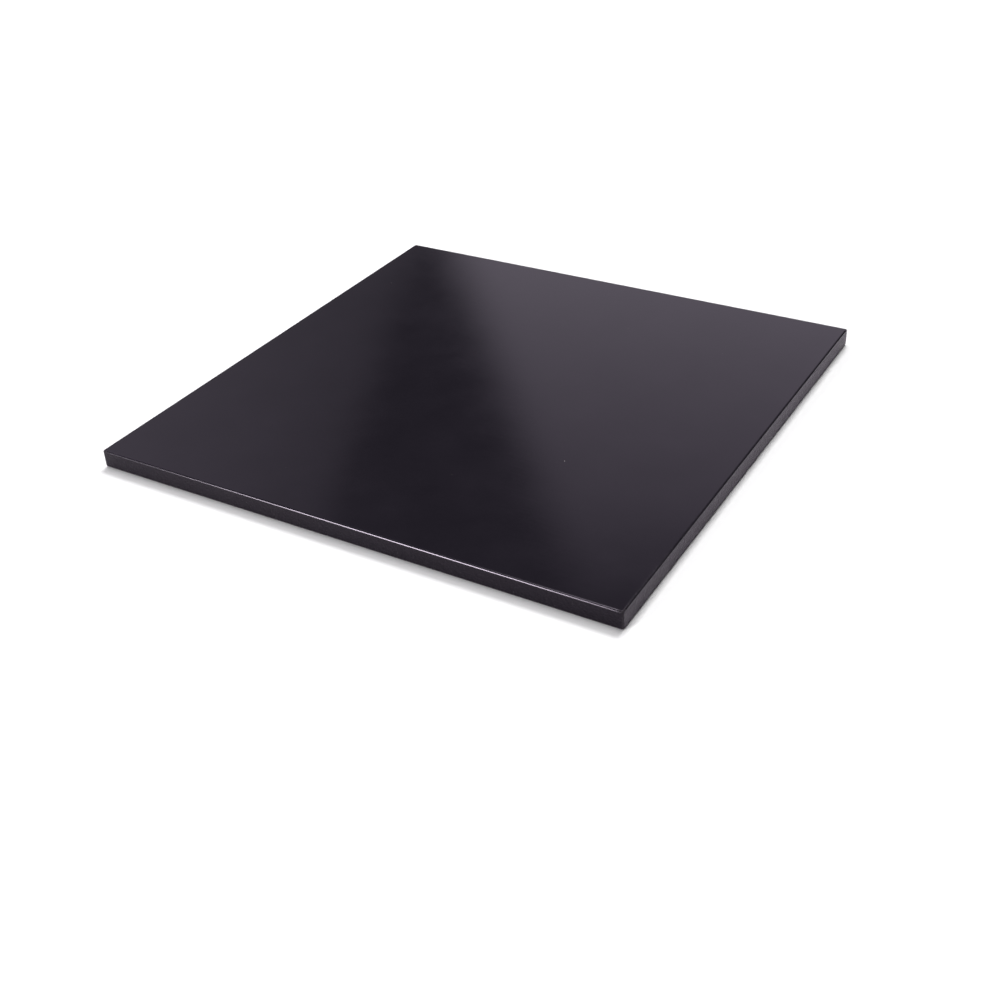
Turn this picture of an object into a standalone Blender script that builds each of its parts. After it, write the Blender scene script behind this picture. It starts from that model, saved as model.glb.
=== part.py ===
"""Film faced plywood sheet: one square sheet lying flat, with sealed edges.

Units are metres and +Z is up.  The origin is at the middle of the underside.
+X and +Y run along the two sides of the sheet, and the face grain runs along X.
"""

import bmesh
import bpy

# Driving dimensions.
SHEET_LENGTH = 0.625     # along X, with the face grain: half of a 1250 mm wide board
SHEET_WIDTH = 0.625      # along Y
SHEET_THICKNESS = 0.021  # along Z, film included
ARRIS_RADIUS = 0.0015    # the long arrises round both faces, eased before sealing
CORNER_RADIUS = 0.002    # the four upright corners, seen from above

# How finely the rounded edges are divided.
ARRIS_SEGMENTS = 6
CORNER_SEGMENTS = 4

# The black phenolic film, and the sealer of the same colour on the edges.
FILM_COLOUR = (0.020, 0.017, 0.024, 1.0)
FILM_ROUGHNESS = 0.35

COLLECTION_NAME = "film_faced_plywood_sheet"
SHEET_NAME = "plywood_sheet"


def clear_scene():
    """Remove every object that the file opened with."""
    for leftover in list(bpy.data.objects):
        bpy.data.objects.remove(leftover, do_unlink=True)


def make_collection():
    """Return a new collection for the sheet, linked to the scene."""
    collection = bpy.data.collections.new(COLLECTION_NAME)
    bpy.context.scene.collection.children.link(collection)
    return collection


def make_film_material():
    """Return the smooth black film that covers the faces and the edges."""
    material = bpy.data.materials.new("black_phenolic_film")
    material.use_nodes = True
    shader = material.node_tree.nodes["Principled BSDF"]
    shader.inputs["Base Color"].default_value = FILM_COLOUR
    shader.inputs["Roughness"].default_value = FILM_ROUGHNESS
    shader.inputs["Metallic"].default_value = 0.0
    return material


def make_panel_mesh():
    """Return a box of the sheet's size, its underside at Z = 0, with its edges weighted for Bevel.

    An upright edge gets CORNER_RADIUS, and an edge around a face gets ARRIS_RADIUS.  Each has its
    own attribute, because the two are rounded by one modifier each.
    """
    mesh = bpy.data.meshes.new(SHEET_NAME)
    panel = bmesh.new()
    bmesh.ops.create_cube(panel, size=1.0)
    bmesh.ops.scale(panel, verts=panel.verts, vec=(SHEET_LENGTH, SHEET_WIDTH, SHEET_THICKNESS))
    bmesh.ops.translate(panel, verts=panel.verts, vec=(0.0, 0.0, SHEET_THICKNESS / 2))

    corner_weight = panel.edges.layers.float.new("corner_weight")
    arris_weight = panel.edges.layers.float.new("arris_weight")
    for edge in panel.edges:
        first, second = edge.verts
        upright = abs(first.co.z - second.co.z) > SHEET_THICKNESS / 2
        edge[corner_weight] = 1.0 if upright else 0.0
        edge[arris_weight] = 0.0 if upright else 1.0
    panel.to_mesh(mesh)
    panel.free()
    return mesh


def round_edges(sheet, name, radius, segments, weight):
    """Add a Bevel that rounds the edges which carry the given weight to a radius."""
    bevel = sheet.modifiers.new(name, "BEVEL")
    bevel.width = radius
    bevel.segments = segments
    bevel.limit_method = "WEIGHT"
    bevel.edge_weight = weight
    bevel.use_clamp_overlap = True
    bevel.harden_normals = False


def make_sheet(collection):
    """Return the plywood sheet: a flat panel with eased arrises and near-sharp corners."""
    sheet = bpy.data.objects.new(SHEET_NAME, make_panel_mesh())
    collection.objects.link(sheet)
    sheet.data.materials.append(make_film_material())
    round_edges(sheet, "upright_corners", CORNER_RADIUS, CORNER_SEGMENTS, "corner_weight")
    round_edges(sheet, "face_arrises", ARRIS_RADIUS, ARRIS_SEGMENTS, "arris_weight")
    sheet.data.shade_smooth()
    return sheet


def main():
    """Build the sheet."""
    clear_scene()
    make_sheet(make_collection())


main()
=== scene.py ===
"""The film faced plywood sheet as it looks, with its finishes and the studio it lies in.

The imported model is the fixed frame. The sheet is built again in Geometry Nodes from the size
of its CAD solid, dressed in a glossy phenolic film on its faces and arrises and a duller
sealing paint on its sawn edges, and laid on a pale floor under a soft studio dome.
"""

import logging
import math
from dataclasses import dataclass, field
from enum import Enum

import bpy
from mathutils import Matrix, Vector


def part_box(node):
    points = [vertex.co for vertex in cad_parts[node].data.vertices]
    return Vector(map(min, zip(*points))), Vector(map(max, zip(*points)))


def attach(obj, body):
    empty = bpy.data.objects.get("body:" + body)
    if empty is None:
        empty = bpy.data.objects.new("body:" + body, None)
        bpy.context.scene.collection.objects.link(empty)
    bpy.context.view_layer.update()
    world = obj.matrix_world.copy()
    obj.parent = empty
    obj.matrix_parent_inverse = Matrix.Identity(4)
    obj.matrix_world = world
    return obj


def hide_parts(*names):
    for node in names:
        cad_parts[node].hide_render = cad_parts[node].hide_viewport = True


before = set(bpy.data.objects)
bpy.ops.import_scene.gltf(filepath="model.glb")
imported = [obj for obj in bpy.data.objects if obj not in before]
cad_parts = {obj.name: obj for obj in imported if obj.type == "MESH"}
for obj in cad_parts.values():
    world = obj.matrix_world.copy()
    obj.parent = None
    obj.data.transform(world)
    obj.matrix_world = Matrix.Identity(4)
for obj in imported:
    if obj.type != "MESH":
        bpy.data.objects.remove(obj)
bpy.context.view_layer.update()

LOG = logging.getLogger("plywood_sheet")

CAD_NODE = "plywood_sheet"
CAD_BODY = "root"
SHEEN_TINT = (0.96, 0.84, 1.0, 1.0)
POWDER_TINT = (0.92, 0.72, 1.0, 1.0)
WHITE = (1.0, 1.0, 1.0, 1.0)
RESIN_IOR = 1.5

Colour = tuple[float, float, float, float]
Point = tuple[float, float, float]


class Axis(Enum):
    """A column of a vector in a node tree."""

    X = "X"
    Y = "Y"
    Z = "Z"


@dataclass
class NodeBench:
    """Adds nodes to one tree and joins them.

    Attributes:
        tree: The shader or geometry node tree being built.
    """

    tree: bpy.types.NodeTree

    def add(self, kind: str, **settings: object) -> bpy.types.Node:
        """Adds a node.

        Args:
            kind: The node's Blender type name.
            settings: Properties of the node, such as operation.

        Returns:
            The new node.
        """
        node = self.tree.nodes.new(kind)
        for name, value in settings.items():
            setattr(node, name, value)
        return node

    def feed(self, socket: bpy.types.NodeSocket, value: object) -> None:
        """Joins a socket to the input, or sets the input's own value.

        Args:
            socket: The input to feed.
            value: Another node's output, or a plain value.
        """
        if isinstance(value, bpy.types.NodeSocket):
            self.tree.links.new(value, socket)
        else:
            socket.default_value = value

    def fill(self, node: bpy.types.Node, **inputs: object) -> bpy.types.Node:
        """Feeds a node's inputs by name, with an underscore for each space.

        Args:
            node: The node to feed.
            inputs: One value or output for each named input.

        Returns:
            The same node.
        """
        for name, value in inputs.items():
            self.feed(node.inputs[name.replace("_", " ")], value)
        return node

    def maths(self, operation: str, *values: object, clamp: bool = False) -> bpy.types.NodeSocket:
        """Works on plain numbers.

        Args:
            operation: A Math node operation.
            values: Its operands in order.
            clamp: True to hold the result between 0 and 1.

        Returns:
            The result's output socket.
        """
        node = self.add("ShaderNodeMath", operation=operation, use_clamp=clamp)
        for socket, value in zip(node.inputs, values):
            self.feed(socket, value)
        return node.outputs[0]

    def vectors(self, operation: str, *values: object) -> bpy.types.NodeSocket:
        """Works on vectors, one column at a time.

        Args:
            operation: A Vector Math node operation.
            values: Its operands in order.

        Returns:
            The result's vector output, or its number for LENGTH.
        """
        node = self.add("ShaderNodeVectorMath", operation=operation)
        for socket, value in zip(node.inputs, values):
            self.feed(socket, value)
        return node.outputs["Value" if operation == "LENGTH" else "Vector"]

    def scaled(self, vector: bpy.types.NodeSocket, amount: object) -> bpy.types.NodeSocket:
        """Multiplies a vector by one number.

        Args:
            vector: The vector's output socket.
            amount: The number, or the output that gives it.

        Returns:
            The scaled vector's output socket.
        """
        node = self.add("ShaderNodeVectorMath", operation="SCALE")
        self.fill(node, Vector=vector, Scale=amount)
        return node.outputs["Vector"]

    def joined(self, x: object, y: object, z: object) -> bpy.types.NodeSocket:
        """Makes one vector of three numbers."""
        return self.fill(self.add("ShaderNodeCombineXYZ"), X=x, Y=y, Z=z).outputs[0]

    def column(self, vector: bpy.types.NodeSocket, axis: Axis) -> bpy.types.NodeSocket:
        """Takes one column of a vector."""
        return self.fill(self.add("ShaderNodeSeparateXYZ"), Vector=vector).outputs[axis.value]

    def ramp(
        self,
        value: object,
        start: tuple[object, object],
        end: tuple[object, object],
        smooth: bool = True,
    ) -> bpy.types.NodeSocket:
        """Maps a number from one range to another and holds it there.

        Args:
            value: The number to map.
            start: Where the range starts and what that gives.
            end: Where the range ends and what that gives.
            smooth: True for an eased ramp, False for a straight one.

        Returns:
            The mapped number's output socket.
        """
        node = self.add(
            "ShaderNodeMapRange", interpolation_type="SMOOTHSTEP" if smooth else "LINEAR"
        )
        values = (value, start[0], end[0], start[1], end[1])
        for socket, given in zip(node.inputs, values):
            self.feed(socket, given)
        return node.outputs["Result"]

    def noise(
        self, vector: bpy.types.NodeSocket, scale: object, detail: float, rough: float = 0.5
    ) -> bpy.types.NodeSocket:
        """Makes a soft random value over space.

        Args:
            vector: Where to read it.
            scale: Features per metre.
            detail: How many finer layers are added.
            rough: How strong the finer layers are.

        Returns:
            The value's output socket, about 0.5 on average.
        """
        node = self.add("ShaderNodeTexNoise")
        self.fill(node, Vector=vector, Scale=scale, Detail=detail, Roughness=rough)
        return node.outputs["Fac"]

    def blend(self, factor: object, first: object, second: object) -> bpy.types.NodeSocket:
        """Mixes two colours.

        Args:
            factor: 0 for the first colour and 1 for the second.
            first: A colour or the output that gives it.
            second: A colour or the output that gives it.

        Returns:
            The mixed colour's output socket.
        """
        node = self.add("ShaderNodeMix", data_type="RGBA")
        for name, value in (("Factor_Float", factor), ("A_Color", first), ("B_Color", second)):
            socket = next(s for s in node.inputs if s.identifier == name)
            self.feed(socket, value)
        return next(s for s in node.outputs if s.identifier == "Result_Color")


@dataclass
class EffectGroup:
    """A shader node group with named inputs and outputs.

    Attributes:
        name: The group's name.
        inputs: Each input's name with its default, a number or a vector.
        outputs: The names of the numbers that it gives.
        bench: The bench over the group's own tree.
    """

    name: str
    inputs: dict[str, float | Point]
    outputs: tuple[str, ...]
    bench: NodeBench = field(init=False)

    def __post_init__(self) -> None:
        """Makes the group's tree and its sockets."""
        tree = bpy.data.node_groups.new(self.name, "ShaderNodeTree")
        for name, default in self.inputs.items():
            kind = "NodeSocketFloat" if isinstance(default, float) else "NodeSocketVector"
            socket = tree.interface.new_socket(name=name, in_out="INPUT", socket_type=kind)
            socket.default_value = default
        for name in self.outputs:
            tree.interface.new_socket(name=name, in_out="OUTPUT", socket_type="NodeSocketFloat")
        self.bench = NodeBench(tree)
        self._given = self.bench.add("NodeGroupInput")
        self._result = self.bench.add("NodeGroupOutput")

    def given(self, name: str) -> bpy.types.NodeSocket:
        """Finds one of the group's inputs inside its tree."""
        return self._given.outputs[name]

    def give(self, name: str, value: bpy.types.NodeSocket) -> None:
        """Joins a value to one of the group's outputs."""
        self.bench.feed(self._result.inputs[name], value)

    def place(self, bench: NodeBench, **inputs: object) -> bpy.types.Node:
        """Places the group in a material.

        Args:
            bench: The bench over the material's tree.
            inputs: Values for the group's inputs, with an underscore for each space.

        Returns:
            The group's node.
        """
        node = bench.add("ShaderNodeGroup")
        node.node_tree = self.bench.tree
        return bench.fill(node, **inputs)


class SurfaceEffects:
    """The effects that both finishes share, each built once as a node group."""

    def __init__(self) -> None:
        """Builds every group."""
        self.fibre_relief = self._fibre_relief()
        self.mottling = self._mottling()
        self.dust = self._dust()
        self.arris_rub = self._arris_rub()
        self.hairlines = self._hairlines()

    def _fibre_relief(self) -> EffectGroup:
        """Builds the relief that wood fibres leave in what covers them.

        Returns:
            A group that gives a Height of about 0 to 1.
        """
        defaults = {"Vector": (0.0, 0.0, 0.0), "Fibres": 400.0, "Stretch": 30.0}
        group = EffectGroup("fibre_relief", defaults, ("Height",))
        bench = group.bench
        finer, pore_bottom, pore_rim, pore_depth = 3.7, 0.30, 0.45, 0.3
        squeeze = bench.maths("DIVIDE", 1.0, group.given("Stretch"))
        along = bench.vectors("MULTIPLY", group.given("Vector"), bench.joined(squeeze, 1.0, 1.0))
        broad = bench.noise(along, group.given("Fibres"), 3.0)
        fine = bench.noise(along, bench.maths("MULTIPLY", group.given("Fibres"), finer), 2.0)
        pores = bench.ramp(fine, (pore_bottom, 0.0), (pore_rim, 1.0))
        waves = bench.maths("MULTIPLY", broad, 1.0 - pore_depth)
        group.give("Height", bench.maths("MULTIPLY_ADD", pores, pore_depth, waves))
        return group

    def _mottling(self) -> EffectGroup:
        """Builds the uneven clouds of a rolled or brushed coat.

        Returns:
            A group that gives a Value from 0 to 1.
        """
        defaults = {"Vector": (0.0, 0.0, 0.0), "Clouds": 20.0, "Contrast": 1.0}
        group = EffectGroup("mottling", defaults, ("Value",))
        bench = group.bench
        middle = 0.5
        clouds = bench.noise(group.given("Vector"), group.given("Clouds"), 5.0, rough=0.6)
        centred = bench.maths("SUBTRACT", clouds, middle)
        spread = bench.maths("MULTIPLY", centred, group.given("Contrast"))
        group.give("Value", bench.maths("ADD", spread, middle, clamp=True))
        return group

    def _dust(self) -> EffectGroup:
        """Builds scattered specks of dust.

        Returns:
            A group that gives a Mask, 1 on a speck and 0 off it.
        """
        defaults = {
            "Vector": (0.0, 0.0, 0.0),
            "Cells": 60.0,
            "Radius": 0.05,
            "Share": 0.1,
        }
        group = EffectGroup("dust_specks", defaults, ("Mask",))
        bench = group.bench
        cells = bench.add("ShaderNodeTexVoronoi")
        bench.fill(cells, Vector=group.given("Vector"), Scale=group.given("Cells"))
        drawn = bench.column(cells.outputs["Color"], Axis.X)
        kept = bench.maths("LESS_THAN", drawn, group.given("Share"))
        varied = bench.column(cells.outputs["Color"], Axis.Y)
        size = bench.maths("MULTIPLY", group.given("Radius"), varied)
        spot = bench.maths("LESS_THAN", cells.outputs["Distance"], size)
        group.give("Mask", bench.maths("MULTIPLY", kept, spot))
        return group

    def _arris_rub(self) -> EffectGroup:
        """Builds the rubbed band along every arris.

        Returns:
            A group that gives a Band, 1 on an arris and 0 beyond its reach, and a Mask, the
            same band broken into patches.
        """
        defaults = {
            "Vector": (0.0, 0.0, 0.0),
            "Half Size": (0.3, 0.3, 0.01),
            "Reach": 0.004,
            "Break Up": 300.0,
        }
        group = EffectGroup("arris_rub", defaults, ("Mask", "Band"))
        bench = group.bench
        inward = bench.vectors(
            "SUBTRACT", group.given("Half Size"), bench.vectors("ABSOLUTE", group.given("Vector"))
        )
        x, y, z = (bench.column(inward, axis) for axis in Axis)
        nearer = bench.maths("MINIMUM", x, y)
        farther = bench.maths("MAXIMUM", x, y)
        away = bench.maths("MAXIMUM", nearer, bench.maths("MINIMUM", farther, z))
        band = bench.ramp(away, (0.0, 1.0), (group.given("Reach"), 0.0))
        whole, worn_through = 0.42, 0.62
        patchy = bench.noise(group.given("Vector"), group.given("Break Up"), 4.0, rough=0.65)
        worn = bench.ramp(patchy, (whole, 0.0), (worn_through, 1.0))
        group.give("Mask", bench.maths("MULTIPLY", band, worn))
        group.give("Band", band)
        return group

    def _hairlines(self) -> EffectGroup:
        """Builds hairline scuffs, long along their run and thin across it.

        Returns:
            A group that gives a Mask, 1 on a scuff.
        """
        defaults = {
            "Vector": (0.0, 0.0, 0.0),
            "Turn": 0.0,
            "Lines": 180.0,
            "Stretch": 60.0,
            "Share": 0.3,
        }
        group = EffectGroup("hairline_scuffs", defaults, ("Mask",))
        bench = group.bench
        turned = bench.add("ShaderNodeVectorRotate", rotation_type="Z_AXIS")
        bench.fill(turned, Vector=group.given("Vector"), Angle=group.given("Turn"))
        squeeze = bench.maths("DIVIDE", 1.0, group.given("Stretch"))
        along = bench.vectors("MULTIPLY", turned.outputs[0], bench.joined(squeeze, 1.0, 1.0))
        middle, half_width, patch_scale, most, fade = 0.5, 0.012, 9.0, 0.75, 0.12
        lines = bench.noise(along, group.given("Lines"), 1.0)
        offset = bench.maths("ABSOLUTE", bench.maths("SUBTRACT", lines, middle))
        thin = bench.ramp(offset, (0.0, 1.0), (half_width, 0.0))
        patches = bench.noise(group.given("Vector"), patch_scale, 2.0)
        start = bench.maths("SUBTRACT", most, group.given("Share"))
        stop = bench.maths("ADD", start, fade)
        shown = bench.ramp(patches, (start, 0.0), (stop, 1.0))
        group.give("Mask", bench.maths("MULTIPLY", thin, shown))
        return group


@dataclass(frozen=True)
class FilmFinish:
    """The smooth phenolic film on the faces and over the arrises.

    Attributes:
        name: The material's name.
        deep: The film's colour where it is thickest.
        thin: The film's colour where it is thinnest.
        dust: The colour of a dust speck.
        gloss: Roughness of the clean film.
        haze: Roughness added by the mottling.
        handled: Roughness added on the arrises, where hands and slings hold the sheet.
        scuffed: Roughness added by scuffs and rubbing.
        dusty: Roughness added on a dust speck.
        relief: Height of the fibre relief, in metres.
        peel: Height of the film's own fine texture, in metres.
        peel_scale: Bumps of the fine texture per metre.
        sheen: How strongly the film mirrors, 0.5 for a clear resin.
    """

    name: str = "phenolic_film"
    deep: Colour = (0.0087, 0.0074, 0.0108, 1.0)
    thin: Colour = (0.0113, 0.0096, 0.0137, 1.0)
    dust: Colour = (0.20, 0.19, 0.18, 1.0)
    gloss: float = 0.062
    haze: float = 0.050
    handled: float = 0.11
    scuffed: float = 0.012
    dusty: float = 0.5
    relief: float = 0.000012
    peel: float = 0.000003
    peel_scale: float = 900.0
    sheen: float = 0.5

    def material(self, effects: SurfaceEffects, half_size: Point) -> bpy.types.Material:
        """Builds the film's material.

        Args:
            effects: The shared effect groups.
            half_size: Half the sheet's length, width and thickness.

        Returns:
            The material.
        """
        material, bench, place = start_material(self.name, half_size[2])
        clouds = effects.mottling.place(bench, Vector=place, Clouds=14.0, Contrast=1.8)
        fibres = effects.fibre_relief.place(bench, Vector=place, Fibres=260.0, Stretch=26.0)
        specks = effects.dust.place(bench, Vector=place, Cells=55.0, Radius=0.04, Share=0.12)
        scuffs = effects.hairlines.place(
            bench, Vector=place, Turn=0.35, Lines=150.0, Stretch=22.0, Share=0.16
        )
        rub = effects.arris_rub.place(bench, Vector=place, Half_Size=half_size, Reach=0.004)
        peel = bench.noise(place, self.peel_scale, 2.0)

        coat = bench.blend(clouds.outputs["Value"], self.deep, self.thin)
        colour = bench.blend(specks.outputs["Mask"], coat, self.dust)

        marks = bench.maths("MAXIMUM", scuffs.outputs["Mask"], rub.outputs["Mask"])
        hazy = bench.maths("MULTIPLY_ADD", clouds.outputs["Value"], self.haze, self.gloss)
        dulled = bench.maths("MULTIPLY_ADD", rub.outputs["Band"], self.handled, hazy)
        rough = bench.maths("MULTIPLY_ADD", marks, self.scuffed, dulled)
        speckled = bench.maths("MULTIPLY_ADD", specks.outputs["Mask"], self.dusty, rough)

        raised = bench.maths("MULTIPLY", fibres.outputs["Height"], self.relief)
        height = bench.maths("MULTIPLY_ADD", peel, self.peel, raised)
        finish_material(bench, colour, speckled, height, self.sheen)
        return material


@dataclass(frozen=True)
class SealedEdgeFinish:
    """The duller paint that seals the sawn edges.

    Attributes:
        name: The material's name.
        deep: The paint's colour in its hollows.
        thin: The paint's colour where it is thinly brushed.
        dust: The colour of a dust speck.
        gloss: Roughness of the paint at its smoothest.
        haze: Roughness added by the mottling.
        grit: Height of the paint's grain, in metres.
        plies: Height of the ply layers that show through, in metres.
        ply_pitch: Thickness of one ply, in metres.
        lumps: Height of the soft lumps left by the brush, in metres.
        lump_scale: Soft lumps per metre.
        rubbed: How far a rubbed arris turns to the colour of dust.
        sheen: How strongly the matt paint mirrors, 0.5 for a clear resin.
        powder: How strongly its powdery skin scatters light that grazes it.
        powder_rough: How widely the powdery skin scatters that light.
    """

    name: str = "sealed_edge"
    deep: Colour = (0.0024, 0.0017, 0.0032, 1.0)
    thin: Colour = (0.0052, 0.0040, 0.0064, 1.0)
    dust: Colour = (0.12, 0.11, 0.12, 1.0)
    gloss: float = 0.30
    haze: float = 0.12
    grit: float = 0.00020
    plies: float = 0.00003
    ply_pitch: float = 0.0014
    lumps: float = 0.0005
    lump_scale: float = 400.0
    rubbed: float = 0.3
    sheen: float = 0.10
    powder: float = 0.27
    powder_rough: float = 0.4

    def material(self, effects: SurfaceEffects, half_size: Point) -> bpy.types.Material:
        """Builds the sealing paint's material.

        Args:
            effects: The shared effect groups.
            half_size: Half the sheet's length, width and thickness.

        Returns:
            The material.
        """
        material, bench, place = start_material(self.name, half_size[2])
        clouds = effects.mottling.place(bench, Vector=place, Clouds=160.0, Contrast=2.2)
        fibres = effects.fibre_relief.place(bench, Vector=place, Fibres=380.0, Stretch=2.0)
        specks = effects.dust.place(bench, Vector=place, Cells=420.0, Radius=0.16, Share=0.05)
        rub = effects.arris_rub.place(
            bench, Vector=place, Half_Size=half_size, Reach=0.003, Break_Up=500.0
        )
        per_metre = math.tau / (2 * self.ply_pitch)
        turn = bench.maths("MULTIPLY", bench.column(place, Axis.Z), per_metre)
        layers = bench.maths("MULTIPLY_ADD", bench.maths("SINE", turn), 0.5, 0.5)

        coat = bench.blend(clouds.outputs["Value"], self.deep, self.thin)
        worn = bench.maths("MULTIPLY", rub.outputs["Mask"], self.rubbed)
        brushed = bench.blend(worn, coat, self.dust)
        colour = bench.blend(specks.outputs["Mask"], brushed, self.dust)
        rough = bench.maths("MULTIPLY_ADD", clouds.outputs["Value"], self.haze, self.gloss)

        gritty = bench.maths("MULTIPLY", fibres.outputs["Height"], self.grit)
        lumps = bench.noise(place, self.lump_scale, 2.0)
        lumpy = bench.maths("MULTIPLY_ADD", lumps, self.lumps, gritty)
        height = bench.maths("MULTIPLY_ADD", layers, self.plies, lumpy)
        shader = finish_material(bench, colour, rough, height, self.sheen)
        bench.fill(shader, Sheen_Weight=self.powder, Sheen_Roughness=self.powder_rough)
        bench.fill(shader, Sheen_Tint=POWDER_TINT)
        return material


def start_material(
    name: str, middle: float
) -> tuple[bpy.types.Material, NodeBench, bpy.types.NodeSocket]:
    """Starts a material whose patterns are centred on the sheet.

    Args:
        name: The material's name.
        middle: Height of the sheet's middle above the floor.

    Returns:
        The material, the bench over its tree, and the place of each point from the middle.
    """
    material = bpy.data.materials.new(name)
    material.use_nodes = True
    material.node_tree.nodes.clear()
    bench = NodeBench(material.node_tree)
    mapping = bench.add("ShaderNodeMapping", vector_type="POINT")
    place = bench.add("ShaderNodeTexCoord").outputs["Object"]
    bench.fill(mapping, Vector=place, Location=(0.0, 0.0, -middle))
    return material, bench, mapping.outputs["Vector"]


def finish_material(
    bench: NodeBench,
    colour: bpy.types.NodeSocket,
    rough: bpy.types.NodeSocket,
    height: bpy.types.NodeSocket,
    sheen: float,
) -> bpy.types.Node:
    """Ends a material in a Principled shader.

    Args:
        bench: The bench over the material's tree.
        colour: The surface colour.
        rough: The surface roughness.
        height: The relief, in metres.
        sheen: How strongly the surface mirrors, 0.5 for a clear resin.

    Returns:
        The Principled shader's node.
    """
    bump = bench.add("ShaderNodeBump")
    bench.fill(bump, Strength=1.0, Distance=1.0, Height=height)
    shader = bench.add("ShaderNodeBsdfPrincipled")
    bench.fill(shader, Base_Color=colour, Roughness=rough, Normal=bump.outputs[0])
    bench.fill(shader, IOR=RESIN_IOR)
    bench.fill(shader, Specular_IOR_Level=sheen, Specular_Tint=SHEEN_TINT)
    output = bench.add("ShaderNodeOutputMaterial")
    bench.feed(output.inputs["Surface"], shader.outputs[0])
    return shader


@dataclass
class PlywoodSheet:
    """The sheet: one solid panel with rounded arrises and corners.

    Attributes:
        length: Size along X.
        width: Size along Y.
        thickness: Size along Z.
        arris_radius: Radius of the long arrises.
        corner_radius: Radius at the four corners, which the arrises grow to.
        corner_reach: How far from a corner the arrises start to grow.
        arris_steps: Faces across half an arris.
        face_steps: Faces from an arris to the middle of a face.
        edge_steps: Faces from an arris to the middle of an edge.
        edge_slope: The steepest face normal that still counts as the edge.
        paint_lap: How far the paint laps along the arrises from a corner.
        name: The piece's name.
    """

    length: float
    width: float
    thickness: float
    arris_radius: float = 0.0022
    corner_radius: float = 0.0024
    corner_reach: float = 0.012
    arris_steps: int = 6
    face_steps: int = 18
    edge_steps: int = 3
    edge_slope: float = 0.25
    paint_lap: float = 0.0085
    name: str = "film_faced_sheet"

    @property
    def half_size(self) -> Point:
        """Half the length, width and thickness."""
        return (self.length / 2, self.width / 2, self.thickness / 2)

    def build(self, film: bpy.types.Material, edge: bpy.types.Material) -> bpy.types.Object:
        """Builds the sheet as a plain mesh with its finishes.

        Args:
            film: The finish of the faces and arrises.
            edge: The finish of the sawn edges.

        Returns:
            The sheet's object, standing at the origin.
        """
        tree = self._tree()
        seed = bpy.data.objects.new(self.name + "_seed", bpy.data.meshes.new(self.name + "_seed"))
        bpy.context.scene.collection.objects.link(seed)
        modifier = seed.modifiers.new("sheet_shape", "NODES")
        modifier.node_group = tree
        self._set_inputs(modifier, film, edge)
        depsgraph = bpy.context.evaluated_depsgraph_get()
        mesh = bpy.data.meshes.new_from_object(seed.evaluated_get(depsgraph), depsgraph=depsgraph)
        bpy.data.objects.remove(seed)
        empty = [slot for slot, finish in enumerate(mesh.materials) if finish is None]
        for slot in reversed(empty):
            mesh.materials.pop(index=slot)
        mesh.name = self.name
        sheet = bpy.data.objects.new(self.name, mesh)
        bpy.context.scene.collection.objects.link(sheet)
        return sheet

    def _set_inputs(
        self, modifier: bpy.types.NodesModifier, film: bpy.types.Material, edge: bpy.types.Material
    ) -> None:
        """Sets the modifier's inputs by their socket identifiers.

        Args:
            modifier: The Geometry Nodes modifier.
            film: The finish of the faces and arrises.
            edge: The finish of the sawn edges.
        """
        values = {
            "Length": self.length,
            "Width": self.width,
            "Thickness": self.thickness,
            "Arris Radius": self.arris_radius,
            "Corner Radius": self.corner_radius,
            "Corner Reach": self.corner_reach,
            "Arris Steps": self.arris_steps,
            "Face Steps": self.face_steps,
            "Edge Steps": self.edge_steps,
            "Edge Slope": self.edge_slope,
            "Paint Lap": self.paint_lap,
            "Film": film,
            "Sealed Edge": edge,
        }
        for item in modifier.node_group.interface.items_tree:
            if item.item_type == "SOCKET" and item.in_out == "INPUT":
                modifier[item.identifier] = values[item.name]

    def _tree(self) -> bpy.types.NodeTree:
        """Builds the tree that shapes and dresses the sheet.

        Returns:
            The geometry node tree.
        """
        tree = bpy.data.node_groups.new("rounded_sheet", "GeometryNodeTree")
        tree.is_modifier = True
        sockets = {
            "Length": "NodeSocketFloat",
            "Width": "NodeSocketFloat",
            "Thickness": "NodeSocketFloat",
            "Arris Radius": "NodeSocketFloat",
            "Corner Radius": "NodeSocketFloat",
            "Corner Reach": "NodeSocketFloat",
            "Arris Steps": "NodeSocketInt",
            "Face Steps": "NodeSocketInt",
            "Edge Steps": "NodeSocketInt",
            "Edge Slope": "NodeSocketFloat",
            "Paint Lap": "NodeSocketFloat",
            "Film": "NodeSocketMaterial",
            "Sealed Edge": "NodeSocketMaterial",
        }
        for name, kind in sockets.items():
            tree.interface.new_socket(name=name, in_out="INPUT", socket_type=kind)
        tree.interface.new_socket(name="Sheet", in_out="OUTPUT", socket_type="NodeSocketGeometry")
        bench = NodeBench(tree)
        given = bench.add("NodeGroupInput").outputs
        half = bench.scaled(bench.joined(given["Length"], given["Width"], given["Thickness"]), 0.5)
        blank = self._blank(bench, given, half)
        spread = self._moved(bench, blank, self._spread_places(bench, given, half))
        rounded = self._moved(bench, spread, self._rounded_places(bench, given, half))
        raised = self._moved(bench, rounded, self._raised_places(bench, half))
        smooth = bench.fill(bench.add("GeometryNodeSetShadeSmooth"), Geometry=raised)
        dressed = self._dressed(bench, given, half, smooth.outputs[0])
        bench.feed(bench.add("NodeGroupOutput").inputs[0], dressed)
        return tree

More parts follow.
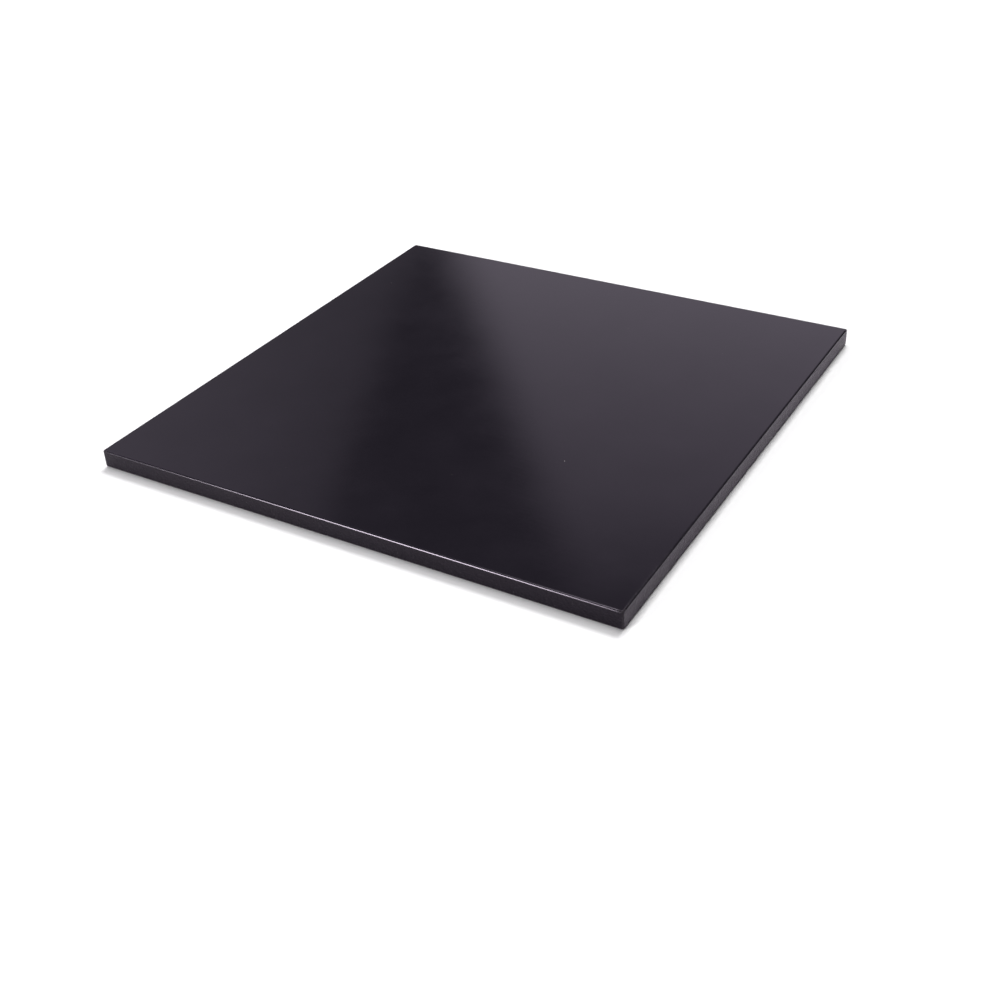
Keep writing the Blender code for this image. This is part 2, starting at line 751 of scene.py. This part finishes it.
    def _blank(
        self, bench: NodeBench, given: bpy.types.NodeOutputs, half: bpy.types.NodeSocket
    ) -> bpy.types.NodeSocket:
        """Cuts a square-edged blank with a grid of points on all six sides.

        Args:
            bench: The bench over the tree.
            given: The tree's inputs.
            half: Half the sheet's size.

        Returns:
            The blank's geometry.
        """
        counts = []
        for steps in ("Face Steps", "Face Steps", "Edge Steps"):
            one_side = bench.maths("ADD", given["Arris Steps"], given[steps])
            counts.append(bench.maths("MULTIPLY_ADD", one_side, 2.0, 1.0))
        blank = bench.add("GeometryNodeMeshCube")
        bench.fill(
            blank,
            Size=bench.scaled(half, 2.0),
            Vertices_X=counts[0],
            Vertices_Y=counts[1],
            Vertices_Z=counts[2],
        )
        return blank.outputs["Mesh"]

    def _moved(
        self, bench: NodeBench, geometry: bpy.types.NodeSocket, place: bpy.types.NodeSocket
    ) -> bpy.types.NodeSocket:
        """Puts every point where a rule says.

        Args:
            bench: The bench over the tree.
            geometry: What to move.
            place: The rule's place for each point.

        Returns:
            The moved geometry.
        """
        node = bench.add("GeometryNodeSetPosition")
        return bench.fill(node, Geometry=geometry, Position=place).outputs[0]

    def _spread_places(
        self, bench: NodeBench, given: bpy.types.NodeOutputs, half: bpy.types.NodeSocket
    ) -> bpy.types.NodeSocket:
        """Crowds the even grid towards the arrises, where the shape turns.

        The first rows stand at even angles round an arris, and the rest open out by the
        square of their number towards the middle.

        Args:
            bench: The bench over the tree.
            given: The tree's inputs.
            half: Half the sheet's size.

        Returns:
            Each point's new place.
        """
        place = bench.add("GeometryNodeInputPosition").outputs[0]
        one = (1.0, 1.0, 1.0)
        arris = bench.joined(*[given["Arris Steps"]] * 3)
        beyond = bench.joined(given["Face Steps"], given["Face Steps"], given["Edge Steps"])
        share = bench.vectors("DIVIDE", bench.vectors("ABSOLUTE", place), half)
        total = bench.vectors("ADD", arris, beyond)
        number = bench.vectors("MULTIPLY", bench.vectors("SUBTRACT", one, share), total)
        round_part = bench.vectors("DIVIDE", bench.vectors("MINIMUM", number, arris), arris)
        angle = bench.scaled(bench.vectors("SUBTRACT", one, round_part), math.pi / 4)
        turn = bench.vectors("SUBTRACT", one, bench.vectors("TANGENT", angle))
        inset = bench.scaled(turn, given["Corner Radius"])
        passed = bench.vectors("MAXIMUM", bench.vectors("SUBTRACT", number, arris), (0.0, 0.0, 0.0))
        flat_part = bench.vectors("DIVIDE", passed, beyond)
        room = bench.vectors("SUBTRACT", half, bench.joined(*[given["Corner Radius"]] * 3))
        opened = bench.vectors("MULTIPLY", bench.vectors("MULTIPLY", flat_part, flat_part), room)
        distance = bench.vectors("SUBTRACT", half, bench.vectors("ADD", inset, opened))
        return bench.vectors("MULTIPLY", bench.vectors("SIGN", place), distance)

    def _rounded_places(
        self, bench: NodeBench, given: bpy.types.NodeOutputs, half: bpy.types.NodeSocket
    ) -> bpy.types.NodeSocket:
        """Rounds the arrises, and the corners a little more.

        Args:
            bench: The bench over the tree.
            given: The tree's inputs.
            half: Half the sheet's size.

        Returns:
            Each point's new place.
        """
        place = bench.add("GeometryNodeInputPosition").outputs[0]
        reach = bench.vectors("ABSOLUTE", place)
        inward = bench.vectors("SUBTRACT", half, reach)
        away = bench.maths("MAXIMUM", bench.column(inward, Axis.X), bench.column(inward, Axis.Y))
        radius = bench.ramp(
            away, (0.0, given["Corner Radius"]), (given["Corner Reach"], given["Arris Radius"])
        )
        core = bench.vectors("SUBTRACT", half, bench.joined(radius, radius, radius))
        inside = bench.vectors("MINIMUM", reach, core)
        held = bench.vectors("MULTIPLY", bench.vectors("SIGN", place), inside)
        outward = bench.vectors("NORMALIZE", bench.vectors("SUBTRACT", place, held))
        return bench.vectors("ADD", held, bench.scaled(outward, radius))

    def _raised_places(self, bench: NodeBench, half: bpy.types.NodeSocket) -> bpy.types.NodeSocket:
        """Lifts the sheet so that it lies on the floor."""
        place = bench.add("GeometryNodeInputPosition").outputs[0]
        lift = bench.joined(0.0, 0.0, bench.column(half, Axis.Z))
        return bench.vectors("ADD", place, lift)

    def _dressed(
        self,
        bench: NodeBench,
        given: bpy.types.NodeOutputs,
        half: bpy.types.NodeSocket,
        geometry: bpy.types.NodeSocket,
    ) -> bpy.types.NodeSocket:
        """Lays film over the faces and arrises and paint over the edges.

        The paint laps over the arrises close to each corner.

        Args:
            bench: The bench over the tree.
            given: The tree's inputs.
            half: Half the sheet's size.
            geometry: The finished shape.

        Returns:
            The dressed geometry.
        """
        real = bench.fill(bench.add("GeometryNodeRealizeInstances"), Geometry=geometry)
        film = bench.add("GeometryNodeSetMaterial")
        bench.fill(film, Geometry=real.outputs[0], Material=given["Film"])
        normal = bench.add("GeometryNodeInputNormal").outputs[0]
        slope = bench.maths("ABSOLUTE", bench.column(normal, Axis.Z))
        upright = bench.maths("LESS_THAN", slope, given["Edge Slope"])
        level = 0.999
        rounded = bench.maths("LESS_THAN", slope, level)
        place = bench.add("GeometryNodeInputPosition").outputs[0]
        inward = bench.vectors("SUBTRACT", half, bench.vectors("ABSOLUTE", place))
        along = bench.maths("MAXIMUM", bench.column(inward, Axis.X), bench.column(inward, Axis.Y))
        near = bench.maths("LESS_THAN", along, given["Paint Lap"])
        lapped = bench.maths("MULTIPLY", rounded, near)
        painted = bench.maths("MAXIMUM", upright, lapped)
        edge = bench.add("GeometryNodeSetMaterial")
        bench.fill(
            edge, Geometry=film.outputs[0], Selection=painted, Material=given["Sealed Edge"]
        )
        return edge.outputs[0]


@dataclass(frozen=True)
class SoftPanel:
    """One soft panel of light in the dome, as seen from the sheet.

    Angles are in degrees. Azimuth is measured from +Y towards +X and elevation from the
    horizon.

    Attributes:
        left: Azimuth of the left side at the pivot elevation.
        right: Azimuth of the right side at the pivot elevation.
        low: Elevation of the bottom side.
        high: Elevation of the top side.
        soft: Half the width of each soft side, across.
        fade: Half the height of each soft side, upwards.
        left_light: Radiance at the left side, at the pivot elevation.
        right_light: Radiance at the right side, at the pivot elevation.
        left_lean: Degrees that the left side moves for each degree above the pivot.
        right_lean: Degrees that the right side moves for each degree above the pivot.
        top_share: Radiance at the top as a share of that at the pivot.
        pivot: The elevation that the sides and their radiance are given for.
    """

    left: float
    right: float
    low: float
    high: float
    soft: float
    fade: float
    left_light: float
    right_light: float
    left_lean: float = 0.0
    right_lean: float = 0.0
    top_share: float = 1.0
    pivot: float = 24.0

    def radiance(
        self, bench: NodeBench, azimuth: bpy.types.NodeSocket, elevation: bpy.types.NodeSocket
    ) -> bpy.types.NodeSocket:
        """Builds the panel's light in the world's tree.

        Args:
            bench: The bench over the world's tree.
            azimuth: The ray's azimuth.
            elevation: The ray's elevation.

        Returns:
            The panel's radiance along the ray.
        """
        above = bench.maths("SUBTRACT", elevation, self.pivot)
        from_left = bench.maths("MULTIPLY_ADD", above, -self.left_lean, azimuth)
        from_right = bench.maths("MULTIPLY_ADD", above, -self.right_lean, azimuth)
        shades = (
            bench.ramp(from_left, (self.left - self.soft, 0.0), (self.left + self.soft, 1.0)),
            bench.ramp(from_right, (self.right - self.soft, 1.0), (self.right + self.soft, 0.0)),
            bench.ramp(elevation, (self.low - self.fade, 0.0), (self.low + self.fade, 1.0)),
            bench.ramp(elevation, (self.high - self.fade, 1.0), (self.high + self.fade, 0.0)),
            bench.ramp(elevation, (self.pivot, 1.0), (self.high, self.top_share), smooth=False),
        )
        light = bench.ramp(
            from_left, (self.left, self.left_light), (self.right, self.right_light), smooth=False
        )
        for shade in shades:
            light = bench.maths("MULTIPLY", light, shade)
        return light


@dataclass(frozen=True)
class OverheadBox:
    """One flat softbox over the sheet, parallel to the floor.

    Its sides are in metres for each metre that it hangs above the floor.

    Attributes:
        left: Its side towards -X.
        right: Its side towards +X.
        front: Its side towards -Y.
        back: Its side towards +Y.
        light: Its radiance.
        soft: Half the width of its soft sides.
    """

    left: float
    right: float
    front: float
    back: float
    light: float
    soft: float = 0.04

    def radiance(
        self, bench: NodeBench, across: bpy.types.NodeSocket, deep: bpy.types.NodeSocket
    ) -> bpy.types.NodeSocket:
        """Builds the softbox's light in the world's tree.

        Args:
            bench: The bench over the world's tree.
            across: The ray's X for each metre it climbs.
            deep: The ray's Y for each metre it climbs.

        Returns:
            The softbox's radiance along the ray.
        """
        light = self.light
        for place, low, high in ((across, self.left, self.right), (deep, self.front, self.back)):
            opens = bench.ramp(place, (low - self.soft, 0.0), (low + self.soft, 1.0))
            closes = bench.ramp(place, (high - self.soft, 1.0), (high + self.soft, 0.0))
            light = bench.maths("MULTIPLY", light, bench.maths("MULTIPLY", opens, closes))
        return light


@dataclass(frozen=True)
class StudioDome:
    """The light round the sheet: softboxes overhead, soft panels and darker walls.

    Attributes:
        tint: Colour of the panels and walls, as the film mirrors them.
        walls: Radiance of the walls between the panels.
        backdrop: Radiance that the camera sees beyond the floor.
        climb: The least that a ray climbs to meet a softbox.
        boxes: The softboxes.
        key: The strip light at the front left.
        panels: The soft panels.
    """

    tint: Colour = (1.045, 0.967, 1.112, 1.0)
    walls: float = 0.024
    backdrop: float = 1.05
    climb: float = 0.05
    boxes: tuple[OverheadBox, ...] = (
        OverheadBox(left=-0.450, right=0.170, front=-0.063, back=0.381, light=4.80, soft=0.05),
        OverheadBox(left=-0.380, right=0.150, front=0.452, back=0.900, light=19.8, soft=0.03),
    )
    key: SoftPanel = SoftPanel(
        left=-157.2, right=-143.2, low=0.0, high=30.0,
        soft=1.5, fade=1.7, left_light=28.5, right_light=28.5,
    )
    panels: tuple[SoftPanel, ...] = (
        SoftPanel(
            left=-32.6, right=-3.0, low=-8.0, high=36.5,
            soft=1.6, fade=3.5, left_light=0.575, right_light=0.71,
            left_lean=0.36, right_lean=-0.6, top_share=0.45,
        ),
        SoftPanel(
            left=-95.0, right=-35.3, low=-8.0, high=46.0,
            soft=1.1, fade=4.0, left_light=0.91, right_light=0.090,
            left_lean=-0.55, right_lean=-0.51, top_share=2.6,
        ),
        SoftPanel(
            left=96.0, right=150.0, low=-8.0, high=44.0,
            soft=9.0, fade=14.0, left_light=0.10, right_light=0.34,
            left_lean=0.30, right_lean=-0.30, top_share=0.5,
        ),
    )

    def build(self, scene: bpy.types.Scene) -> None:
        """Builds the dome as the scene's world.

        Args:
            scene: The scene to light.
        """
        world = bpy.data.worlds.new("studio_dome")
        world.use_nodes = True
        world.node_tree.nodes.clear()
        bench = NodeBench(world.node_tree)
        ray = bench.add("ShaderNodeTexCoord").outputs["Generated"]
        x, y, z = (bench.column(ray, axis) for axis in Axis)
        azimuth = bench.maths("DEGREES", bench.maths("ARCTAN2", x, y))
        elevation = bench.maths("DEGREES", bench.maths("ARCSINE", z))
        glow = self.walls
        for panel in self.panels:
            glow = bench.maths("ADD", glow, panel.radiance(bench, azimuth, elevation))
        climb = bench.maths("MAXIMUM", z, self.climb)
        across, deep = (bench.maths("DIVIDE", side, climb) for side in (x, y))
        overhead = self.key.radiance(bench, azimuth, elevation)
        for box in self.boxes:
            overhead = bench.maths("ADD", overhead, box.radiance(bench, across, deep))
        round_about = bench.add("ShaderNodeBackground")
        bench.fill(round_about, Color=self.tint, Strength=glow)
        above = bench.add("ShaderNodeBackground")
        bench.fill(above, Color=WHITE, Strength=overhead)
        studio = bench.add("ShaderNodeAddShader")
        bench.feed(studio.inputs[0], round_about.outputs[0])
        bench.feed(studio.inputs[1], above.outputs[0])
        backdrop = bench.add("ShaderNodeBackground")
        bench.fill(backdrop, Color=WHITE, Strength=self.backdrop)
        seen = bench.add("ShaderNodeLightPath").outputs["Is Camera Ray"]
        mixed = bench.add("ShaderNodeMixShader")
        bench.feed(mixed.inputs[0], seen)
        bench.feed(mixed.inputs[1], studio.outputs[0])
        bench.feed(mixed.inputs[2], backdrop.outputs[0])
        bench.feed(bench.add("ShaderNodeOutputWorld").inputs["Surface"], mixed.outputs[0])
        scene.world = world


@dataclass(frozen=True)
class StudioFloor:
    """The pale floor under the sheet.

    Attributes:
        size: Length of each side.
        drop: How far it lies below the sheet's underside.
        colour: The floor's colour.
        rough: The floor's roughness.
        name: The object's name.
    """

    size: float = 60.0
    drop: float = 0.0002
    colour: Colour = (0.87, 0.87, 0.87, 1.0)
    rough: float = 0.55
    name: str = "studio_floor"

    def build(self) -> bpy.types.Object:
        """Builds the floor.

        Returns:
            The floor's object.
        """
        half = self.size / 2
        turns = ((-1, -1), (1, -1), (1, 1), (-1, 1))
        corners = [(x * half, y * half, -self.drop) for x, y in turns]
        mesh = bpy.data.meshes.new(self.name)
        mesh.from_pydata(corners, [], [(0, 1, 2, 3)])
        mesh.materials.append(self._material())
        floor = bpy.data.objects.new(self.name, mesh)
        bpy.context.scene.collection.objects.link(floor)
        return floor

    def _material(self) -> bpy.types.Material:
        """Builds the floor's plain pale material."""
        material = bpy.data.materials.new(self.name)
        material.use_nodes = True
        shader = material.node_tree.nodes["Principled BSDF"]
        NodeBench(material.node_tree).fill(shader, Base_Color=self.colour, Roughness=self.rough)
        return material


@dataclass(frozen=True)
class StudioCamera:
    """The camera, placed by where it looks and from how far.

    Attributes:
        aim: The point on the floor in the middle of the view.
        distance: Distance from the aim to the camera.
        azimuth: Angle round the sheet, 0 looking along +Y.
        elevation: Angle above the horizon.
        roll: Turn about the line of sight.
        lens: Focal length in millimetres.
        sensor: Sensor width in millimetres.
        reach: The farthest that the camera sees, in metres.
    """

    aim: Point = (0.10710, -0.17693, 0.0)
    distance: float = 1.40078
    azimuth: float = 31.483
    elevation: float = 33.250
    roll: float = -2.695
    lens: float = 48.97
    sensor: float = 36.0
    reach: float = 200.0

    def build(self, scene: bpy.types.Scene) -> bpy.types.Object:
        """Builds the camera and makes it the scene's own.

        Args:
            scene: The scene to look at.

        Returns:
            The camera's object.
        """
        around, above, roll = (math.radians(a) for a in (self.azimuth, self.elevation, self.roll))
        ahead = Vector((
            -math.sin(around) * math.cos(above),
            math.cos(around) * math.cos(above),
            -math.sin(above),
        ))
        level = ahead.cross(Vector((0.0, 0.0, 1.0))).normalized()
        right = level * math.cos(roll) + level.cross(ahead) * math.sin(roll)
        up = right.cross(ahead)
        data = bpy.data.cameras.new("studio_camera")
        data.lens = self.lens
        data.sensor_width = self.sensor
        data.clip_end = self.reach
        camera = bpy.data.objects.new("studio_camera", data)
        turn = Matrix((right, up, -ahead)).transposed().to_4x4()
        camera.matrix_world = Matrix.Translation(Vector(self.aim) - ahead * self.distance) @ turn
        scene.collection.objects.link(camera)
        scene.camera = camera
        return camera


def main() -> None:
    """Builds the sheet, then the floor, the dome and the camera."""
    logging.basicConfig(level=logging.INFO, format="%(name)s: %(message)s")
    scene = bpy.context.scene
    scene.view_settings.view_transform = "Standard"

    low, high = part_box(CAD_NODE)
    size = high - low
    sheet = PlywoodSheet(length=size.x, width=size.y, thickness=size.z)
    effects = SurfaceEffects()
    film = FilmFinish().material(effects, sheet.half_size)
    edge = SealedEdgeFinish().material(effects, sheet.half_size)
    piece = sheet.build(film, edge)
    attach(piece, CAD_BODY)
    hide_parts(CAD_NODE)
    mesh = piece.data
    LOG.info("%s: %d faces, %d finishes", piece.name, len(mesh.polygons), len(mesh.materials))

    floor = StudioFloor().build()
    LOG.info("%s: stage", floor.name)
    dome = StudioDome()
    dome.build(scene)
    LOG.info("studio dome: %d softboxes, %d panels", len(dome.boxes), len(dome.panels) + 1)
    camera = StudioCamera().build(scene)
    LOG.info("%s: %.2f mm lens", camera.name, camera.data.lens)


if __name__ == "__main__":
    main()
